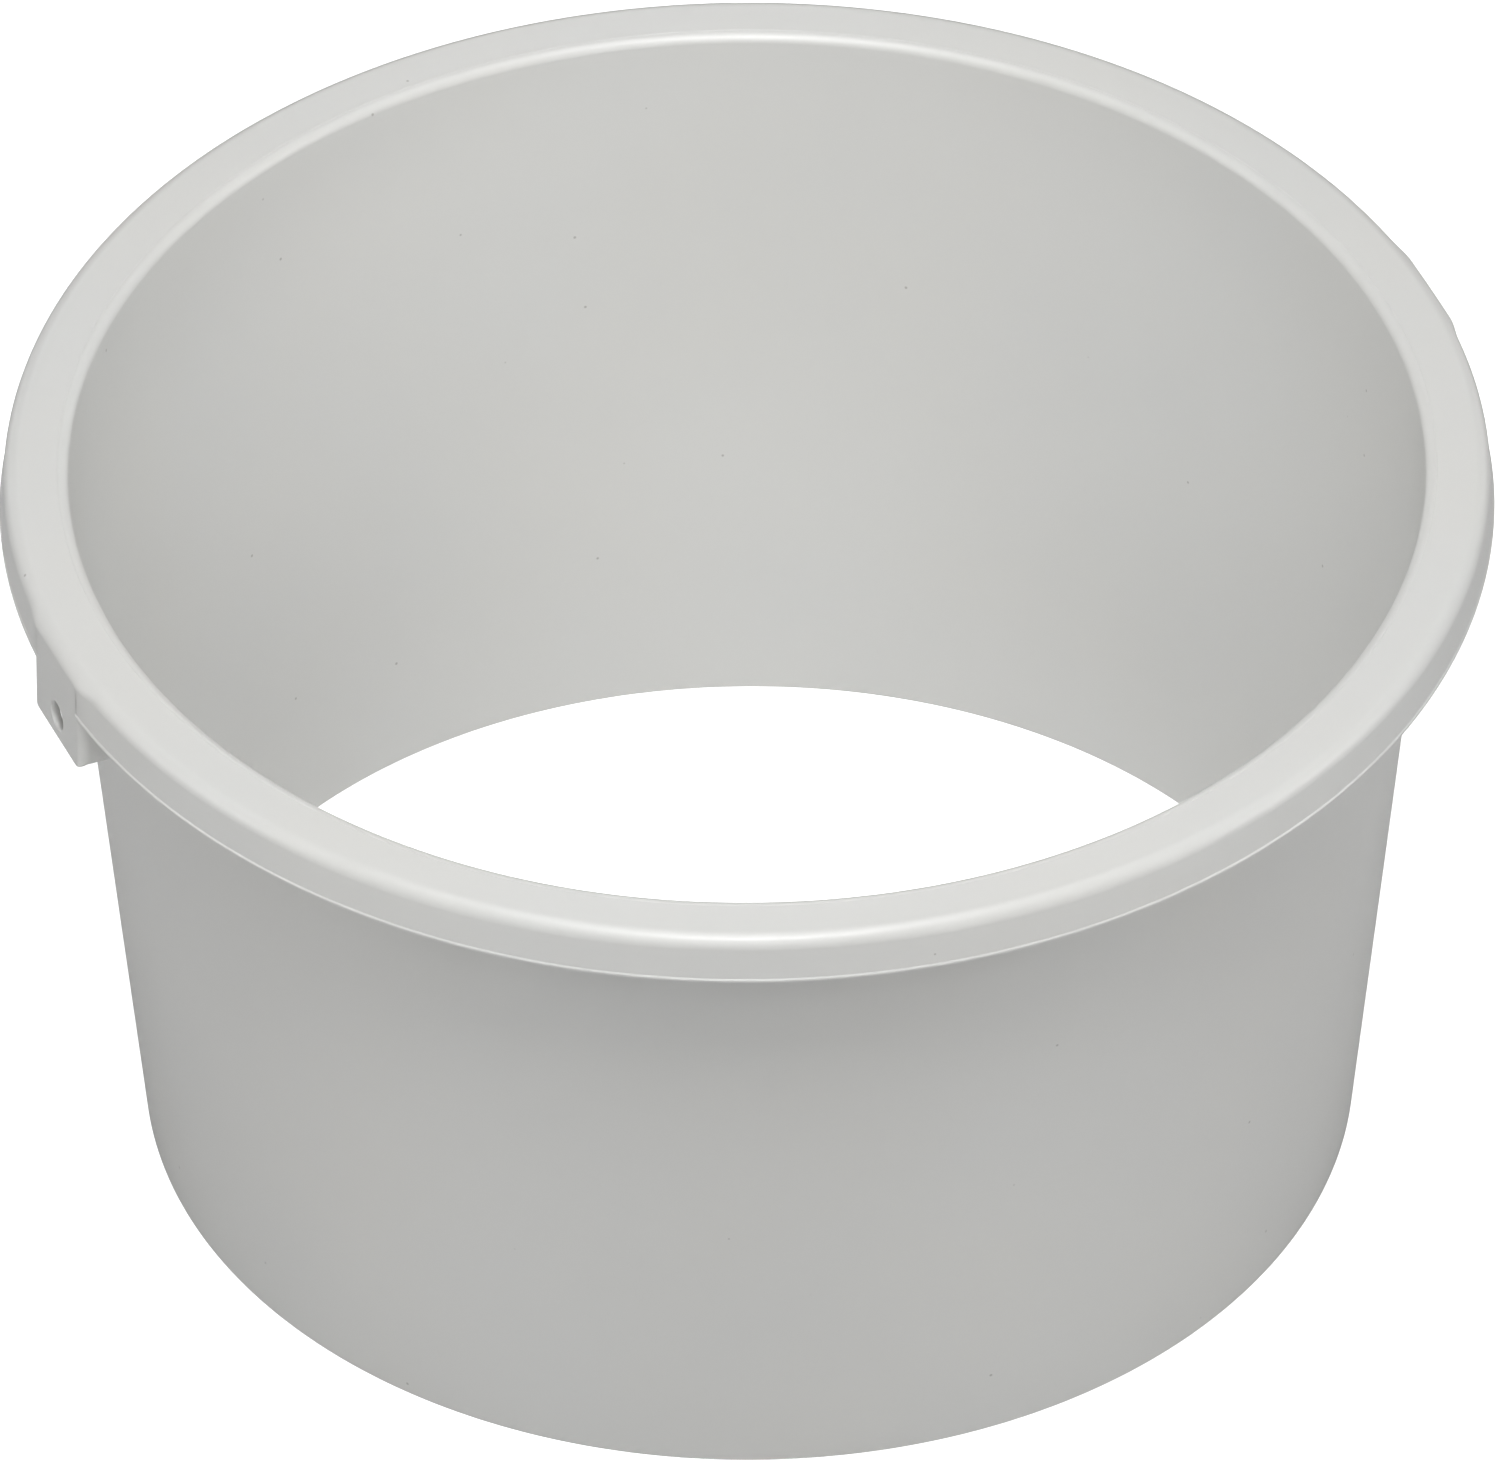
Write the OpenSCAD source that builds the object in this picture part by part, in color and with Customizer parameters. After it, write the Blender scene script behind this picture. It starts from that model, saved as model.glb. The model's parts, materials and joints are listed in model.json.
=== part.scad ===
// Cheese mold: a bottomless, tapered plastic hoop with a flanged rim and two bail ears.
// Origin: centre of the bottom edge. +Z is up, and -Y is the front.
// The hoop is one moulding. Its walls are given here as separate solids that meet face to face.

/* [Hoop] */
// Overall height, from the bottom edge to the top of the rim
hoop_h = 158.5; // [120:0.5:200]
// Outer diameter of the wall at the bottom edge
bottom_d = 245; // [230:0.5:260]
// Outer diameter of the wall where it meets the underside of the rim
neck_d = 276; // [270:0.5:280]
// Thickness of the wall
wall_t = 2; // [1.6:0.1:3]

/* [Rim] */
// Diameter of the rim over the lip of its skirt
rim_d = 300; // [298:0.5:306]
// Thickness of the flat of the rim
rim_t = 2.2; // [1.8:0.1:2.8]
// Radius of the rounded inner edge, where the rim turns down into the wall
inner_edge_r = 2; // [1:0.1:2.5]
// Radius of the rounded outer edge, where the rim turns down into the skirt
outer_edge_r = 3; // [2.5:0.1:4]
// Height of the skirt, from the top of the rim to its lower edge
skirt_h = 10.2; // [9:0.1:13]
// Thickness of the skirt
skirt_t = 2.4; // [2.2:0.1:2.8]
// How far the skirt leans outward between its rounded edge and its lip
skirt_draft = 0.4; // [0:0.1:0.6]
// How far the parting lip stands out from the lower edge of the skirt
lip_out = 0.5; // [0.2:0.1:0.6]
// Height of the parting lip
lip_h = 0.6; // [0.4:0.1:1]

/* [Bail ears] */
// Direction of the first ear, counter-clockwise from +X as seen from above
ear_angle = 202.5; // [180:0.5:250]
// Width of an ear along the rim
ear_w = 25; // [18:0.5:30]
// Height of an ear, from the top of the rim to its lower edge
ear_h = 23.2; // [20:0.2:30]
// Thickness of the face and the sides of an ear
ear_t = 2; // [1.6:0.1:2.4]
// Radius of the rounded upright corners of an ear
ear_corner_r = 2.2; // [1:0.1:2.2]
// Radius of the rounded lower corners of an ear's face
ear_foot_r = 3; // [1:0.5:5]
// Diameter of the bail hole
bail_hole_d = 6; // [4:0.1:7]
// Height of the centre of the bail hole above the lower edge of the ear
bail_hole_up = 5.5; // [4.5:0.1:10]

/* [Hidden] */

plastic = [0.86, 0.86, 0.85];
ring_fn = 180;
small_fn = 48;
edge_steps = 8;
// How far a cutting solid runs past the faces that it cuts
past = 1;

// Radii of the rim, from the lip inwards
lip_r = rim_d / 2;
skirt_low_r = lip_r - lip_out;
skirt_top_r = skirt_low_r - skirt_draft;
flat_out_r = skirt_top_r - outer_edge_r;

// Radii of the wall. The neck is where the outside of the wall meets the underside of the rim.
bottom_r = bottom_d / 2;
neck_r = neck_d / 2;
neck_z = hoop_h - rim_t;
taper = (neck_r - bottom_r) / neck_z;
inner_top_r = neck_r + taper * (rim_t - inner_edge_r) - wall_t;
flat_in_r = inner_top_r + inner_edge_r;

// Heights
skirt_z = hoop_h - skirt_h;
skirt_top_z = hoop_h - outer_edge_r;
ear_z = hoop_h - ear_h;
bail_hole_z = ear_z + bail_hole_up;

// The ear's face is a flat plate whose edges would reach the lip of the skirt
ear_face_r = sqrt(lip_r * lip_r - ear_w * ear_w / 4);
ear_angles = [ear_angle, ear_angle - 180];

// Points of a quarter circle of radius r about [x, z], from angle a to angle b
function arc(x, z, r, a, b) =
    [for (i = [0 : edge_steps]) let (t = a + (b - a) * i / edge_steps) [x + r * cos(t), z + r * sin(t)]];

// Tapered tube, with the rounded inner edge that turns it out into the rim
module hoop_wall() {
    color(plastic)
    rotate_extrude($fn = ring_fn)
    polygon(concat(
        [[bottom_r - wall_t, 0], [bottom_r, 0], [neck_r, neck_z], [flat_in_r, neck_z]],
        arc(flat_in_r, hoop_h - inner_edge_r, inner_edge_r, 90, 180)
    ));
}

// Flat ring on top, where a lid or a second hoop bears
module rim_flange() {
    color(plastic)
    rotate_extrude($fn = ring_fn)
    translate([flat_in_r, neck_z])
    square([flat_out_r - flat_in_r, rim_t]);
}

// Section of the rounded outer edge and of the band that hangs from it, with its parting lip
module skirt_section() {
    polygon(concat(
        arc(flat_out_r, skirt_top_z, outer_edge_r, 90, 0),
        [
            [skirt_low_r, skirt_z + lip_h],
            [lip_r, skirt_z + lip_h],
            [lip_r, skirt_z],
            [skirt_low_r - skirt_t, skirt_z],
            [skirt_top_r - skirt_t, neck_z],
            [flat_out_r, neck_z]
        ]
    ));
}

// Space that an ear takes out of the skirt, below the rounded edge
module ear_gap(angle) {
    rotate(angle)
    translate([bottom_r, -ear_w / 2, skirt_z - past])
    cube([lip_r, ear_w, skirt_h - outer_edge_r + past]);
}

// Rounded outer edge and skirt, open where the ears hang
module rim_skirt() {
    color(plastic)
    difference() {
        rotate_extrude($fn = ring_fn) skirt_section();
        for (angle = ear_angles) ear_gap(angle);
    }
}

// Plan of an ear, or of its pocket when inset: a flat face between rounded upright corners
module ear_plan(inset) {
    half = ear_w / 2 - inset;
    face = ear_face_r - inset;
    corner = ear_corner_r - min(inset, ear_corner_r / 2);
    translate([bottom_r, -half]) square([face - corner - bottom_r, 2 * half]);
    translate([bottom_r, corner - half]) square([face - bottom_r, 2 * (half - corner)]);
    for (side = [-1, 1]) translate([face - corner, side * (half - corner)]) circle(r = corner, $fn = small_fn);
}

// What is cut off a lower corner of an ear, on the side given as -1 or 1, to leave it rounded.
// The round is a touch over size, so that it crosses the ear's side and lower edge instead of only touching them.
module foot_cut(side) {
    reach = ear_foot_r + past;
    round_r = 1.02 * ear_foot_r;
    translate([bottom_r, side * (ear_w / 2 - ear_foot_r), ear_z + ear_foot_r])
    rotate([0, 90, 0])
    difference() {
        translate([0, side > 0 ? 0 : -reach, 0]) cube([reach, reach, lip_r - bottom_r]);
        translate([0, 0, -past]) cylinder(r = round_r, h = lip_r - bottom_r + 2 * past, $fn = small_fn);
    }
}

// Everything inside the outer face of the wall, where an ear's sides stop
module wall_core() {
    rotate_extrude($fn = ring_fn)
    polygon([[0, 0], [bottom_r, 0], [neck_r, neck_z], [neck_r, hoop_h], [0, hoop_h]]);
}

// Ring that the rim's rounded edge takes up, where an ear's face stops
module edge_ring() {
    rotate_extrude($fn = ring_fn)
    translate([skirt_top_r - skirt_t, skirt_top_z])
    square([skirt_t + lip_out + skirt_draft + past, outer_edge_r]);
}

// Upright box of the ear, up to the underside of the rim: a face and two sides, open below
module ear_shell() {
    difference() {
        translate([0, 0, ear_z]) linear_extrude(neck_z - ear_z) ear_plan(0);
        translate([0, 0, ear_z - past]) linear_extrude(neck_z - ear_z + 2 * past) ear_plan(ear_t);
    }
}

// Ear with its bail hole, turned to its place on the rim
module bail_ear(angle) {
    color(plastic)
    difference() {
        rotate(angle)
        difference() {
            ear_shell();
            for (side = [-1, 1]) foot_cut(side);
            translate([ear_face_r - ear_t - past, 0, bail_hole_z])
            rotate([0, 90, 0])
            cylinder(d = bail_hole_d, h = ear_t + 2 * past, $fn = small_fn);
        }
        wall_core();
        edge_ring();
    }
}

module bail_ear_left() bail_ear(ear_angles[0]);
module bail_ear_right() bail_ear(ear_angles[1]);

hoop_wall();
rim_flange();
rim_skirt();
bail_ear_left();
bail_ear_right();
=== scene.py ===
"""Cheese mold: a bottomless, tapered hoop of white polypropylene with a flanged rim and two bail ears.

Lengths are in millimetres until a mesh is made, and the scene is in metres. The origin is the centre of
the bottom edge, +Z is up and -Y is the front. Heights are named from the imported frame, so the detailed
pieces stand exactly where the solids stand.
"""
import json
from math import atan2, cos, pi, radians, sin, sqrt

import bmesh
import bpy
from mathutils import Matrix, Quaternion, Vector


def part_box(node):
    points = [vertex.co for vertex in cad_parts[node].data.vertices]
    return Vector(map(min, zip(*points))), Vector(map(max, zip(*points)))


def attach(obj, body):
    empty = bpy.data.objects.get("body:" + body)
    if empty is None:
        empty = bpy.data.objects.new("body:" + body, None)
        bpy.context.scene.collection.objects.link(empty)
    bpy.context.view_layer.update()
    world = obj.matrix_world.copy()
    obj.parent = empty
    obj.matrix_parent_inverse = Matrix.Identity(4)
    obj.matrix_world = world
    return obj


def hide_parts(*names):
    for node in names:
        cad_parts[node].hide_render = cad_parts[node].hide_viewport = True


MM = 0.001

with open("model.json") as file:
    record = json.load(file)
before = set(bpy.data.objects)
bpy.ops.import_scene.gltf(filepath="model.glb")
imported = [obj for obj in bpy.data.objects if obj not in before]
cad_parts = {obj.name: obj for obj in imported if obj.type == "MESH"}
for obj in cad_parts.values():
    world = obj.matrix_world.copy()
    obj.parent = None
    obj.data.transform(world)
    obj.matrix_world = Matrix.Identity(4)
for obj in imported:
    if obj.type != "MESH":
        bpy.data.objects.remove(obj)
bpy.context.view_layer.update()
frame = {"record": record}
record = frame["record"]

# --- sizes that the frame gives -----------------------------------------------------------------
mount = {m["name"]: m for m in record["mounts"]}
wall_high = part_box("hoop_wall")[1]
skirt_low, skirt_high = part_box("rim_skirt")
ear_low, ear_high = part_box("bail_ear_left")

top_z = wall_high.z / MM              # top of the rim
flat_in_r = wall_high.x / MM          # where the rim's flat meets its rounded inner edge
lip_r = skirt_high.x / MM             # outside of the parting lip
skirt_z = skirt_low.z / MM            # lower edge of the skirt
ear_z = ear_low.z / MM                # lower edge of the ears
neck_z = ear_high.z / MM              # underside of the rim

# --- sizes of the mouldings that a box doesn't give ---------------------------------------------
WALL_T = 2.0                          # thickness of the tapered wall
INNER_EDGE_R = 2.0                    # rounded edge between the wall and the rim's flat
OUTER_EDGE_R = 3.0                    # rounded edge between the rim's flat and the skirt
SKIRT_T = 2.4                         # thickness of the skirt
SKIRT_DRAFT = 0.7                     # how far the skirt leans outward on its way down
LIP_OUT = 0.14                        # how far the parting lip stands out from the skirt
LIP_H = 0.5                           # height of the lip's upright face
LIP_SLOPE = 0.35                      # height of the slope that leads out to it
EAR_FADE = 7.0                        # length beside an ear over which the rim's edge runs out to its face
EAR_W = 25.0                          # width of an ear along the rim
EAR_CORNER_R = 2.2                    # upright corners of an ear
EAR_FOOT_R = 3.0                      # lower corners of an ear, seen from in front of it
ROOT_R = 1.2                          # fillets in the inner corners
BREAK_R = 0.3                         # broken edges of the wall, skirt and ears
SINK = 0.3                            # how far the ears' sides reach into the wall
HOLE_BREAK_R = 0.6                    # softened rims of the bail holes
WITNESS = 0.07                        # depth of the witness line round the rim's flat

# --- radii that follow from them ----------------------------------------------------------------
bottom_r = -mount["base_edge"]["pos_m"][1] / MM + WALL_T / 2
ear_t = mount["bail_hole_left"]["dims"]["length_mm"]
hole_r = mount["bail_hole_left"]["dims"]["r_mm"]
hole_z = mount["bail_hole_left"]["pos_m"][2] / MM
skirt_low_r = lip_r - LIP_OUT
skirt_top_r = skirt_low_r - SKIRT_DRAFT
flat_out_r = skirt_top_r - OUTER_EDGE_R
roll_z = top_z - OUTER_EDGE_R

# An ear's flat face is a plate whose edges would reach the lip. It ends at the angle of its rounded corners.
ear_face = sqrt(lip_r ** 2 - (EAR_W / 2) ** 2)
ear_corner_a = atan2(EAR_W / 2 - EAR_CORNER_R, ear_face)

# The inside of the wall runs from the bottom edge up to the rounded inner edge
inner_foot_r = bottom_r - WALL_T
inner_top_r = flat_in_r - INNER_EDGE_R
neck_r = inner_top_r + WALL_T
taper = (neck_r - bottom_r) / neck_z

# --- fineness of the meshes ---------------------------------------------------------------------
RING_STEPS = 480                      # sections round the hoop
INNER_STEPS = 16                      # steps along the rim's rounded inner edge
OUTER_STEPS = 20                      # steps along the rim's rounded outer edge
ARC_STEPS = 10                        # steps along a fillet, and along the fade beside an ear
SMALL_STEPS = 4                       # steps along a broken edge
CORNER_STEPS = 8                      # steps round an ear's upright corner
FACE_COLUMNS = 10                     # columns in half of an ear's face
HOLE_STEPS = 48                       # sides of a bail hole
PAST = 1.0                            # how far a cutting solid runs past what it cuts
SHARP = radians(25)                   # edges that turn by more than this stay sharp
MERGE = 1e-4                          # vertices closer than this are one


def wall_r(z):
    """Radius of the wall's outer face at a height."""
    return bottom_r + taper * z


# --- shape helpers ------------------------------------------------------------------------------
def arc(x, z, r, start, end, steps=ARC_STEPS):
    """Points of an arc about (x, z), with its angles in degrees."""
    angles = [radians(start + (end - start) * i / steps) for i in range(steps + 1)]
    return [(x + r * cos(a), z + r * sin(a)) for a in angles]


def ease(t):
    """Runs from 0 to 1 as t does, and starts and ends level."""
    return t * t * (3 - 2 * t)


def finish_mesh(name, bm):
    """Turns a bmesh in millimetres into a shaded object in metres."""
    bmesh.ops.remove_doubles(bm, verts=bm.verts, dist=MERGE)
    bmesh.ops.recalc_face_normals(bm, faces=bm.faces)
    if bm.calc_volume(signed=True) < 0:
        bmesh.ops.reverse_faces(bm, faces=bm.faces)
    bmesh.ops.scale(bm, vec=(MM, MM, MM), verts=bm.verts)
    mesh = bpy.data.meshes.new(name)
    bm.to_mesh(mesh)
    bm.free()
    mesh.shade_smooth()
    mesh.set_sharp_from_angle(angle=SHARP)
    piece = bpy.data.objects.new(name, mesh)
    bpy.context.collection.objects.link(piece)
    return piece


def even_angles(steps=RING_STEPS):
    """Directions evenly spaced round a circle, by default those of the sections round the hoop."""
    return [2 * pi * i / steps for i in range(steps)]


def lathe(outline_at, angles):
    """Closed ring. outline_at(angle) is its section in a direction, a closed outline of (radius, height)."""
    bm = bmesh.new()
    rings = [[bm.verts.new((r * cos(a), r * sin(a), z)) for r, z in outline_at(a)] for a in angles]
    for near, far in zip(rings, rings[1:] + rings[:1]):
        for j in range(len(near)):
            k = (j + 1) % len(near)
            bm.faces.new((near[j], far[j], far[k], near[k]))
    return bm


def cut(piece, cutter):
    """Takes the cutter's solid out of the piece, and deletes the cutter."""
    modifier = piece.modifiers.new("cut", "BOOLEAN")
    modifier.operation = "DIFFERENCE"
    modifier.solver = "EXACT"
    modifier.object = cutter
    depsgraph = bpy.context.evaluated_depsgraph_get()
    mesh = bpy.data.meshes.new_from_object(piece.evaluated_get(depsgraph))
    piece.modifiers.clear()
    old = piece.data
    piece.data = mesh
    mesh.name = piece.name
    bpy.data.meshes.remove(old)
    bpy.data.objects.remove(cutter)
    mesh.shade_smooth()
    mesh.set_sharp_from_angle(angle=SHARP)


# --- the ring-shaped regions --------------------------------------------------------------------
def tapered_wall():
    """Tapered wall, with broken edges below, the rounded inner edge above and a fillet under the rim."""
    root_x = wall_r(neck_z - ROOT_R) + ROOT_R
    outline = (
        arc(inner_foot_r + BREAK_R, BREAK_R, BREAK_R, 180, 270, SMALL_STEPS)
        + arc(bottom_r - BREAK_R, BREAK_R, BREAK_R, 270, 360, SMALL_STEPS)
        + arc(root_x, neck_z - ROOT_R, ROOT_R, 180, 90)
        + [(flat_in_r + BREAK_R, neck_z), (flat_in_r + BREAK_R, top_z - WITNESS)]
        + [(flat_in_r + BREAK_R - WITNESS, top_z)]
        + arc(flat_in_r, top_z - INNER_EDGE_R, INNER_EDGE_R, 90, 180, INNER_STEPS)
    )
    return finish_mesh("tapered_wall", lathe(lambda a: outline, even_angles()))


def rim_flat():
    """Flat of the rim. Its inner edge keeps the witness line of the mould's core."""
    inner = flat_in_r + BREAK_R
    outer = flat_out_r - BREAK_R
    witness = [(inner + WITNESS, top_z), (inner, top_z - WITNESS)]
    outline = [(inner, neck_z), (outer, neck_z), (outer, top_z)] + witness
    return finish_mesh("rim_flat", lathe(lambda a: outline, even_angles()))


def from_ear(angle, ears):
    """Angle to the middle of the nearest ear."""
    return min(abs((angle - ear + pi) % (2 * pi) - pi) for ear in ears)


def drawn_out(angle, ears):
    """How far the rim's edge is drawn out to reach the face of an ear. It fades out beside the ear."""
    off = from_ear(angle, ears)
    beside = max(off - ear_corner_a, 0) * skirt_top_r
    reach = ear_face / cos(min(off, ear_corner_a))
    return (reach - skirt_top_r) * ease(max(1 - beside / EAR_FADE, 0))


def skirt_outline(angle, ears):
    """Rounded outer edge, skirt and parting lip, drawn out where they meet the face of an ear."""
    inside_low = skirt_low_r - SKIRT_T
    inside_top = skirt_top_r - SKIRT_T
    soft = LIP_OUT / 2
    slope_r = skirt_top_r + SKIRT_DRAFT * (roll_z - skirt_z - LIP_H - LIP_SLOPE) / (roll_z - skirt_z)
    out = drawn_out(angle, ears)
    roll = [(r + out * ease((top_z - z) / OUTER_EDGE_R), z)
            for r, z in arc(flat_out_r, roll_z, OUTER_EDGE_R, 90, 0, OUTER_STEPS)]
    return (
        [(flat_out_r - BREAK_R, top_z)]
        + roll
        + [(max(slope_r, roll[-1][0]), skirt_z + LIP_H + LIP_SLOPE)]
        + arc(lip_r - soft, skirt_z + LIP_H, soft, 30, 0, 3)
        + arc(lip_r - soft, skirt_z + soft, soft, 0, -90, SMALL_STEPS)
        + arc(inside_low + BREAK_R, skirt_z + BREAK_R, BREAK_R, 270, 180, SMALL_STEPS)
        + arc(inside_top - ROOT_R, neck_z - ROOT_R, ROOT_R, 0, 90)
        + [(flat_out_r - BREAK_R, neck_z)]
    )


def ear_frame(angle):
    """Turns (outward, along the rim, up) into the hoop's own frame, for an ear in this direction."""
    return Matrix.Rotation(angle, 4, "Z")


def bridge(bm, near, far):
    """Faces between two rows of as many vertices."""
    for i in range(len(near) - 1):
        bm.faces.new((near[i], near[i + 1], far[i + 1], far[i]))


def ear_gap(turn):
    """Prism that opens the skirt for an ear: the ear's own plan, and what lies in front of its flat face."""
    corner_v = EAR_W / 2 - EAR_CORNER_R
    corner = arc(ear_face - EAR_CORNER_R, corner_v, EAR_CORNER_R, 90, 0, CORNER_STEPS)
    half = [(bottom_r, EAR_W / 2)] + corner + [(lip_r + PAST, corner_v)]
    plan = half + [(u, -v) for u, v in reversed(half)]
    bm = bmesh.new()
    low = [bm.verts.new((u, v, skirt_z - PAST)) for u, v in plan]
    high = [bm.verts.new((u, v, roll_z)) for u, v in plan]
    bm.faces.new(low)
    bm.faces.new(high)
    bridge(bm, low + low[:1], high + high[:1])
    bm.transform(turn)
    return finish_mesh("cutter", bm)


def rolled_skirt(angles):
    """Rounded outer edge and skirt, open where the ears hang, with closer sections beside them."""
    fades = [ear + side * (ear_corner_a + EAR_FADE / skirt_top_r * i / ARC_STEPS)
             for ear in angles for side in (-1, 1) for i in range(ARC_STEPS + 1)]
    sections = sorted({round(a % (2 * pi), 5) for a in even_angles() + fades})
    skirt = finish_mesh("rolled_skirt", lathe(lambda a: skirt_outline(a, angles), sections))
    for angle in angles:
        cut(skirt, ear_gap(ear_frame(angle)))
    return skirt


# --- bail ears ----------------------------------------------------------------------------------
def ear_plan(inset, corner, root):
    """Plan of a face of the ear, from the wall round to the wall again, as (from the wall, outward, along).

    Near the wall a point's outward place is measured from the wall's own face, which leans. The root
    radius widens the foot of a side, or narrows it when negative, for the pocket.
    """
    half = EAR_W / 2 - inset
    face = ear_face - inset
    turns = [radians(a) for a in (0, 22.5, 45, 67.5, 90)]
    foot = [(True, abs(root) * (1 - cos(a)), half + root * (1 - sin(a))) for a in turns]
    bend = [(False, u, v) for u, v in arc(face - corner, half - corner, corner, 90, 0, CORNER_STEPS)]
    flat = [(False, face, (half - corner) * (1 - i / FACE_COLUMNS)) for i in range(1, FACE_COLUMNS + 1)]
    one_side = foot + bend + flat
    return one_side + [(near_wall, u, -v) for near_wall, u, v in reversed(one_side[:-1])]


def ear_low_z(v):
    """Height of the ear's lower edge, which curves up at both sides."""
    past = min(max(abs(v) - (EAR_W / 2 - EAR_FOOT_R), 0), EAR_FOOT_R)
    return ear_z + EAR_FOOT_R - sqrt(EAR_FOOT_R ** 2 - past ** 2)


def ear_row(bm, inset, corner, root, height):
    """One row of vertices round a face of the ear. The height is a function of the place along the rim."""
    row = []
    for near_wall, u, v in ear_plan(inset, corner, root):
        z = height(v)
        if near_wall:
            u += sqrt(wall_r(z) ** 2 - v * v) - SINK
        row.append(bm.verts.new((u, v, z)))
    return row


def ear_rows(bm, inset, corner, root, outward):
    """Rows of vertices of the ear's outer face (outward 1) or of its pocket (outward -1), from below up."""
    rows = []
    for a in (0, 30, 60, 90):
        shrink = outward * BREAK_R * (1 - sin(radians(a)))
        rise = BREAK_R * (1 - cos(radians(a)))
        rows.append(ear_row(bm, inset + shrink, corner - shrink, root, lambda v: ear_low_z(v) + rise))
    for z in (roll_z - 2 * BREAK_R, roll_z):
        rows.append(ear_row(bm, inset, corner, root, lambda v: z))
    return rows


def bail_ear(name, angle):
    """Hollow ear: a flat face and two sides that run back to the wall, open below, with its bail hole."""
    bm = bmesh.new()
    outer = ear_rows(bm, 0, EAR_CORNER_R, ROOT_R, 1)
    pocket = ear_rows(bm, ear_t, EAR_CORNER_R / 2, -ROOT_R, -1)
    for rows in (outer, pocket):
        for low, high in zip(rows, rows[1:]):
            bridge(bm, low, high)
    bridge(bm, outer[0], pocket[0])
    bridge(bm, outer[-1], pocket[-1])
    for end in (0, -1):
        bridge(bm, [row[end] for row in outer], [row[end] for row in pocket])
    bm.transform(ear_frame(angle))
    ear = finish_mesh(name, bm)
    cut(ear, hole_cutter(angle))
    return ear


def hole_cutter(angle):
    """Pin that bores the bail hole and softens its rims on both faces."""
    soft = HOLE_BREAK_R
    wide_r = hole_r + soft
    back = ear_face - ear_t
    bends = (0.0, 0.5, 1.0, pi / 2)
    side = (
        [(back - PAST, wide_r)]
        + [(back + soft * (1 - cos(a)), wide_r - soft * sin(a)) for a in bends]
        + [(ear_face - soft * (1 - cos(a)), wide_r - soft * sin(a)) for a in reversed(bends)]
        + [(ear_face + PAST, wide_r)]
    )
    bm = bmesh.new()
    around = even_angles(HOLE_STEPS)
    rings = [[bm.verts.new((u, r * cos(a), hole_z + r * sin(a))) for a in around] for u, r in side]
    for near, far in zip(rings, rings[1:]):
        bridge(bm, near + near[:1], far + far[:1])
    bm.faces.new(rings[0])
    bm.faces.new(rings[-1])
    bm.transform(ear_frame(angle))
    return finish_mesh("cutter", bm)


# --- materials ----------------------------------------------------------------------------------
def linear(code):
    """Linear colour from an sRGB hex code."""
    parts = [int(code[i:i + 2], 16) / 255 for i in (1, 3, 5)]
    return [p / 12.92 if p <= 0.04045 else ((p + 0.055) / 1.055) ** 2.4 for p in parts] + [1.0]


def node(tree, kind, inputs=None, **settings):
    """Adds a node. Settings are its own properties, and an input is a value or a socket to link from."""
    new = tree.nodes.new(kind)
    for name, value in settings.items():
        setattr(new, name, value)
    for name, value in (inputs or {}).items():
        if isinstance(value, bpy.types.NodeSocket):
            tree.links.new(value, new.inputs[name])
        else:
            new.inputs[name].default_value = value
    return new


def per_mm(size):
    """Scale of a pattern whose features are this many millimetres apart."""
    return 1 / (size * MM)


def moulded_polypropylene():
    """Natural white polypropylene, injection moulded: satin, a little cloudy, with a few dark specks."""
    material = bpy.data.materials.new("moulded_polypropylene")
    material.use_nodes = True
    tree = material.node_tree
    tree.nodes.clear()
    place = node(tree, "ShaderNodeTexCoord").outputs["Object"]

    # Cloudiness of the resin, some 60 mm across, between a cooler and a warmer white
    cloud = node(tree, "ShaderNodeTexNoise", {"Vector": place, "Scale": per_mm(60), "Detail": 4.0,
                                              "Roughness": 0.55})
    tint = node(tree, "ShaderNodeMix", {0: cloud.outputs[0], 6: linear("#DCDDDC"), 7: linear("#DFDEDA")},
                data_type="RGBA")

    # Specks of burnt resin, up to 0.7 mm across, about 13 mm apart in the wall
    dots = node(tree, "ShaderNodeTexVoronoi", {"Vector": place, "Scale": per_mm(13), "Randomness": 1.0})
    speck = node(tree, "ShaderNodeMapRange", {"Value": dots.outputs["Distance"], "From Min": 0.018,
                                              "From Max": 0.03, "To Min": 0.55, "To Max": 0.0})
    colour = node(tree, "ShaderNodeMix", {0: speck.outputs[0], 6: tint.outputs[2], 7: linear("#8E8B84")},
                  data_type="RGBA")

    # The polish of the mould varies over some 25 mm
    polish = node(tree, "ShaderNodeTexNoise", {"Vector": place, "Scale": per_mm(25), "Detail": 3.0})
    rough = node(tree, "ShaderNodeMapRange", {"Value": polish.outputs[0], "To Min": 0.27, "To Max": 0.4})

    # Grain of the mould's steel, 0.6 mm, and the slow waves of a cooled wall, 35 mm
    grain = node(tree, "ShaderNodeTexNoise", {"Vector": place, "Scale": per_mm(0.6), "Detail": 2.0})
    waves = node(tree, "ShaderNodeTexNoise", {"Vector": place, "Scale": per_mm(35), "Detail": 1.0})
    fine = node(tree, "ShaderNodeBump", {"Height": grain.outputs[0], "Strength": 0.5, "Distance": 0.006 * MM})
    bump = node(tree, "ShaderNodeBump", {"Height": waves.outputs[0], "Strength": 1.0, "Distance": 0.12 * MM,
                                         "Normal": fine.outputs[0]})

    shader = node(tree, "ShaderNodeBsdfPrincipled", {"Base Color": colour.outputs[2],
                                                     "Roughness": rough.outputs[0],
                                                     "Normal": bump.outputs[0], "IOR": 1.49})
    node(tree, "ShaderNodeOutputMaterial", {"Surface": shader.outputs[0]})
    return material


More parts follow.
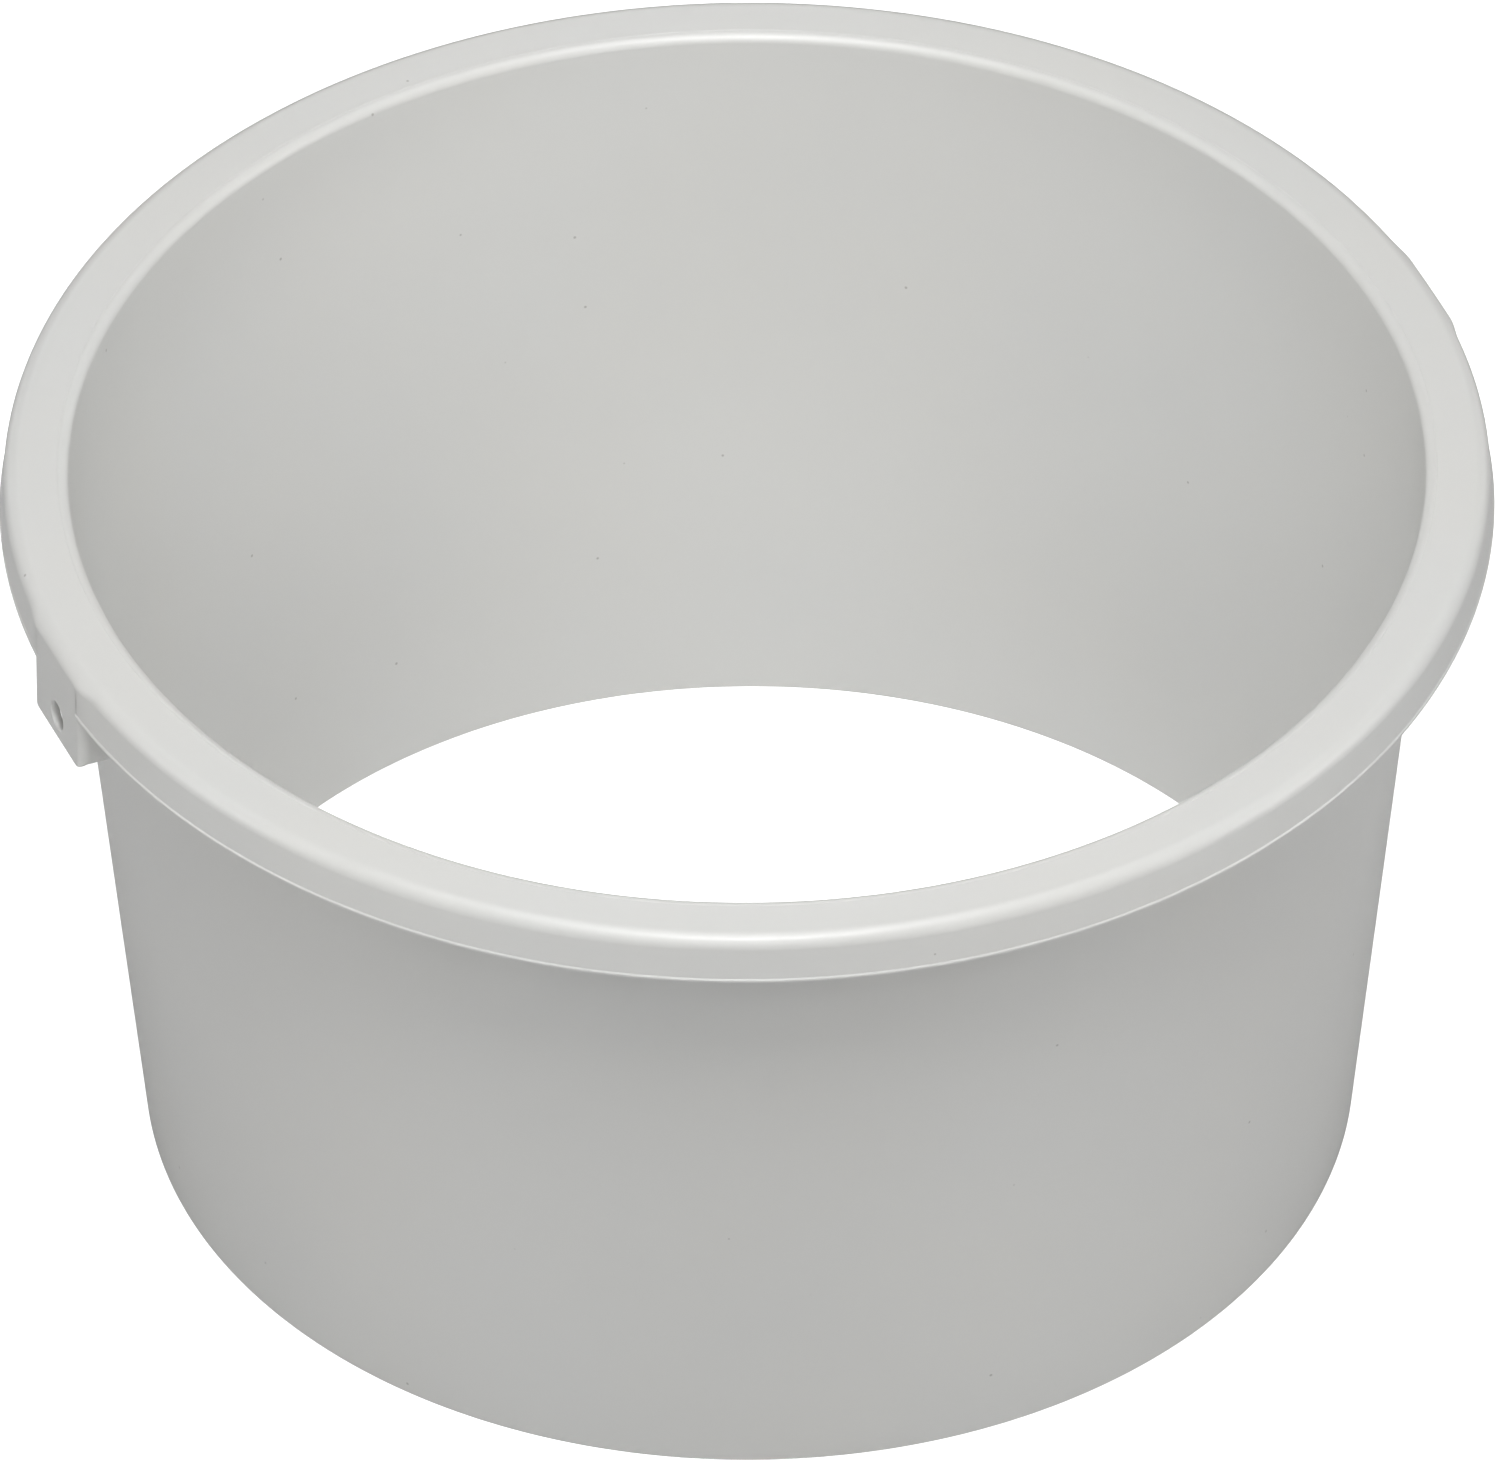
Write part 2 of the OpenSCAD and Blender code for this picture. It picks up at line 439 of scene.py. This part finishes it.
# --- studio -------------------------------------------------------------------------------------
TABLE_R = 6000                        # radius of the table
FLOOR_GLOW = 0.135                    # light that the table gives off
HORIZON = 0.01                        # light of the room at the horizon
ZENITH = 0.05                         # light of the room overhead
SEEN_GLOW = 1.0                       # how much brighter the table and the room look than they light

# Power of each lamp, in watts
OVERHEAD_W = 9.2
FRONT_W = 8.5
HIGH_W = 16.5
LEFT_W = 10.6
RIGHT_W = 14.0
LOW_W = 4.5
BACK_W = 3.5
INSIDE_W = 30.0

CAMERA_DISTANCE = 8.7                 # from the centre of the rim's top, in metres
CAMERA_ELEVATION = radians(39.39)
CAMERA_ROLL = 0.00422                 # in radians
CAMERA_AIM = Vector((0.4, 0, -69.75)) * MM  # from the centre of the rim's top
CAMERA_LENS = 1041.6
SENSOR_W = 36


def seen_glow(tree, level):
    """Strength of a glow that gives this much light, and looks brighter, as an overexposed room does."""
    seen = node(tree, "ShaderNodeLightPath").outputs["Is Camera Ray"]
    glow = node(tree, "ShaderNodeMath", {0: seen, 1: SEEN_GLOW, 2: level}, operation="MULTIPLY_ADD")
    return glow.outputs[0]


def floor_paint():
    """Matt white studio table, lit from within so that it stays pale under the hoop."""
    material = bpy.data.materials.new("white_studio_table")
    material.use_nodes = True
    tree = material.node_tree
    tree.nodes.clear()
    place = node(tree, "ShaderNodeTexCoord").outputs["Object"]
    tone = node(tree, "ShaderNodeTexNoise", {"Vector": place, "Scale": per_mm(300)})
    colour = node(tree, "ShaderNodeMix", {0: tone.outputs[0], 6: linear("#BCBCBC"), 7: linear("#BEBEBE")},
                  data_type="RGBA")
    glow = seen_glow(tree, FLOOR_GLOW)
    shader = node(tree, "ShaderNodeBsdfPrincipled", {"Base Color": colour.outputs[2], "Roughness": 0.9,
                                                     "Emission Color": (1.0, 1.0, 1.0, 1.0),
                                                     "Emission Strength": glow})
    node(tree, "ShaderNodeOutputMaterial", {"Surface": shader.outputs[0]})
    return material


def studio_floor():
    """Round pale table under the hoop."""
    bm = bmesh.new()
    bmesh.ops.create_circle(bm, cap_ends=True, segments=96, radius=TABLE_R)
    table = finish_mesh("studio_floor", bm)
    table.data.materials.append(floor_paint())
    return table


def softbox(name, place, aim, size, watts):
    """Rectangular area light at a place in metres, aimed at a point."""
    light = bpy.data.lights.new(name, "AREA")
    light.shape = "RECTANGLE"
    light.size, light.size_y = size
    light.energy = watts
    lamp = bpy.data.objects.new(name, light)
    lamp.location = place
    lamp.rotation_euler = (Vector(aim) - Vector(place)).to_track_quat("-Z", "Y").to_euler()
    bpy.context.collection.objects.link(lamp)
    return lamp


def snooted_spot(name, place, aim, radius, watts):
    """Narrow, soft-edged spot that lights a round patch of this radius, in metres, at its aim."""
    light = bpy.data.lights.new(name, "SPOT")
    reach = Vector(aim) - Vector(place)
    light.spot_size = 2 * atan2(radius, reach.length)
    light.spot_blend = 1
    light.shadow_soft_size = 0.05
    light.energy = watts
    lamp = bpy.data.objects.new(name, light)
    lamp.location = place
    lamp.rotation_euler = reach.to_track_quat("-Z", "Y").to_euler()
    bpy.context.collection.objects.link(lamp)
    return lamp


def studio_sky():
    """White room whose light grows from the horizon to overhead."""
    world = bpy.data.worlds.new("studio")
    bpy.context.scene.world = world
    world.use_nodes = True
    tree = world.node_tree
    tree.nodes.clear()
    ray = node(tree, "ShaderNodeTexCoord").outputs["Generated"]
    height = node(tree, "ShaderNodeSeparateXYZ", {0: ray}).outputs["Z"]
    level = node(tree, "ShaderNodeMapRange", {"Value": height, "To Min": HORIZON, "To Max": ZENITH})
    background = node(tree, "ShaderNodeBackground", {"Color": (1.0, 1.0, 1.0, 1.0),
                                                     "Strength": seen_glow(tree, level.outputs[0])})
    node(tree, "ShaderNodeOutputWorld", {"Surface": background.outputs[0]})


def studio_camera():
    """Long lens from the front, 39 degrees above the table, with the roll of a hand-set tripod."""
    rim_centre = Vector((0, 0, top_z * MM))
    place = rim_centre + CAMERA_DISTANCE * Vector((0, -cos(CAMERA_ELEVATION), sin(CAMERA_ELEVATION)))
    forward = (rim_centre + CAMERA_AIM - place).normalized()
    level = forward.cross(Vector((0, 0, 1))).normalized()
    right = Quaternion(forward, CAMERA_ROLL) @ level
    up = right.cross(forward)
    data = bpy.data.cameras.new("studio_camera")
    data.sensor_width = SENSOR_W
    data.lens = CAMERA_LENS
    data.clip_end = 50
    camera = bpy.data.objects.new("studio_camera", data)
    camera.matrix_world = Matrix.Translation(place) @ Matrix((right, up, -forward)).transposed().to_4x4()
    bpy.context.collection.objects.link(camera)
    bpy.context.scene.camera = camera


# --- build --------------------------------------------------------------------------------------
ear_angles = [atan2(*reversed(mount[name]["pos_m"][:2])) for name in ("bail_hole_left", "bail_hole_right")]
plastic = moulded_polypropylene()
pieces = {
    "hoop_wall": tapered_wall(),
    "rim_flange": rim_flat(),
    "rim_skirt": rolled_skirt(ear_angles),
    "bail_ear_left": bail_ear("left_ear", ear_angles[0]),
    "bail_ear_right": bail_ear("right_ear", ear_angles[1]),
}
for solid, piece in pieces.items():
    piece.data.materials.clear()
    piece.data.materials.append(plastic)
    flats = piece.modifiers.new("flats_stay_flat", "WEIGHTED_NORMAL")
    flats.keep_sharp = True
    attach(piece, "root")
    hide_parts(solid)

studio_floor()
studio_sky()
softbox("high_softbox", (0, -0.9, 2.0), (0, 0, 0.1), (0.6, 0.5), HIGH_W)
softbox("low_softbox", (0, -2.3, 1.3), (0, 0, 0.16), (0.7, 0.5), LOW_W)
for side in (-1, 1):
    softbox("back_softbox", (1.7 * side, 2.1, 0.6), (0, 0, 0.08), (1.2, 0.7), BACK_W)
softbox("left_softbox", (-2.4, -0.3, 1.0), (0, 0, 0.1), (1.4, 1.0), LEFT_W)
softbox("right_softbox", (2.4, -0.3, 1.0), (0, 0, 0.1), (1.4, 1.0), RIGHT_W)
softbox("overhead_softbox", (0, -0.2, 1.7), (0, 0, 0.1), (0.9, 0.9), OVERHEAD_W)
softbox("front_softbox", (-0.2, -1.7, 1.9), (0, 0, 0.1), (1.0, 0.8), FRONT_W)
snooted_spot("inside_spot", (0, -2.0, 1.55), (-0.01, 0.137, 0.115), 0.11, INSIDE_W)
studio_camera()
bpy.context.scene.view_settings.view_transform = "Standard"
